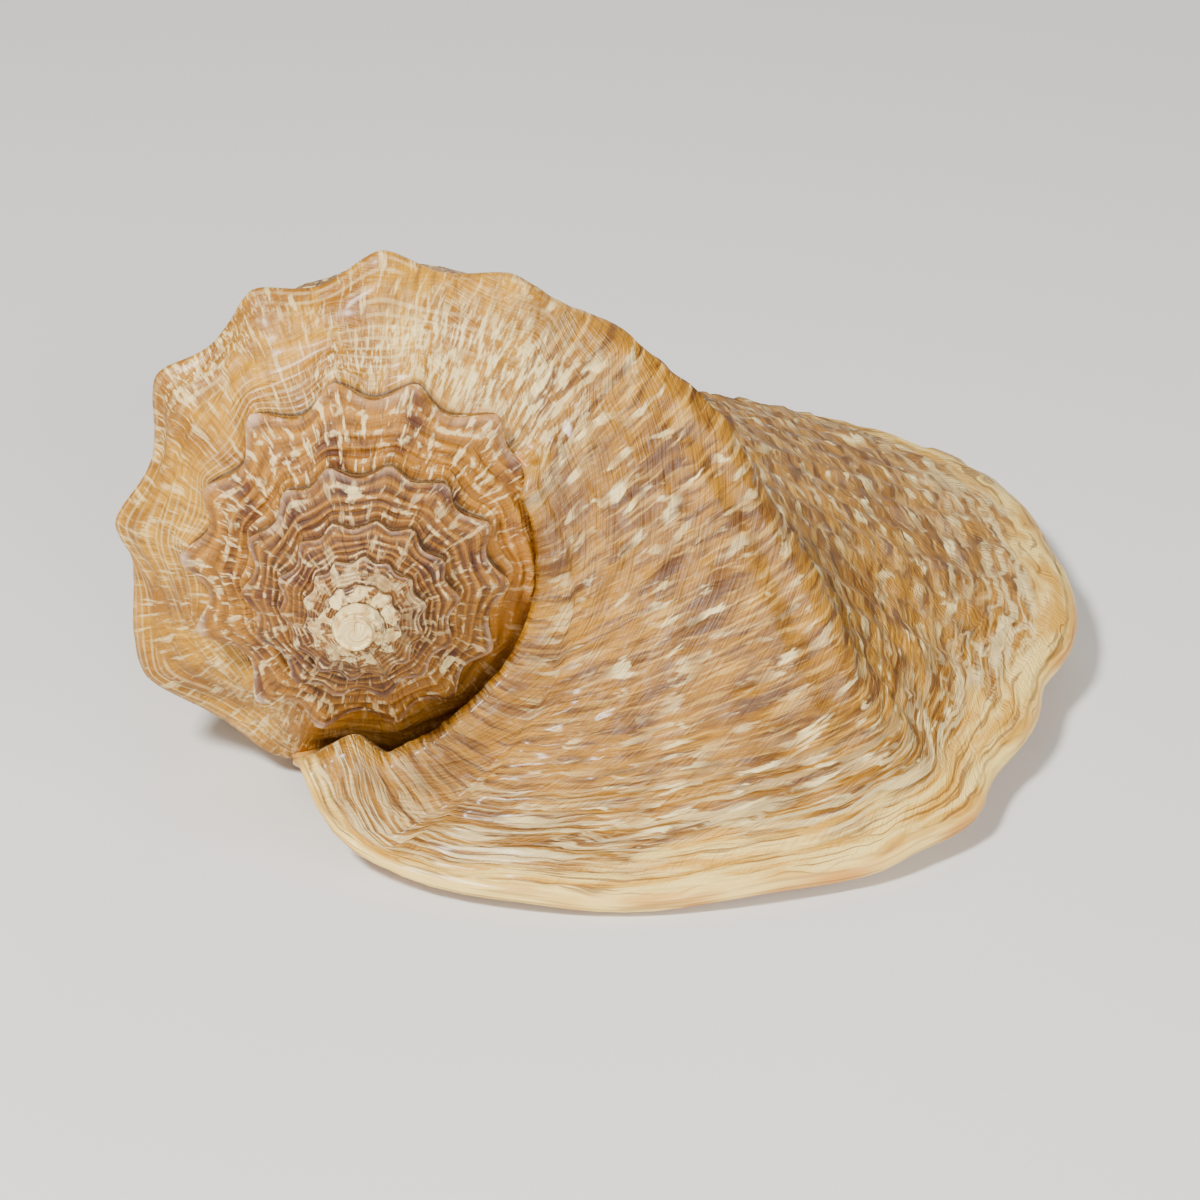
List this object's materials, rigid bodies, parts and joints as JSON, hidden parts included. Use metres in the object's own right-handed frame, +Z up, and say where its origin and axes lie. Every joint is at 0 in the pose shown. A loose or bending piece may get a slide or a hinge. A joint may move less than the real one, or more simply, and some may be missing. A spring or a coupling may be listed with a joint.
{
  "type": "conch shell",
  "caption": "Large conch shell with a stepped, knobbed spire and one huge flared lip, lying on its opening.",
  "frame": {"origin": "middle of the shell's footprint, on the ground it lies on", "axes": "+Z up, +Y from the spire towards the canal, +X towards the flared lip"},
  "size_m": [0.2438, 0.3052, 0.1317],
  "materials": {
    "shell": null
  },
  "bodies": {
    "root": {"shell": "shell"}
  },
  "joints": []
}
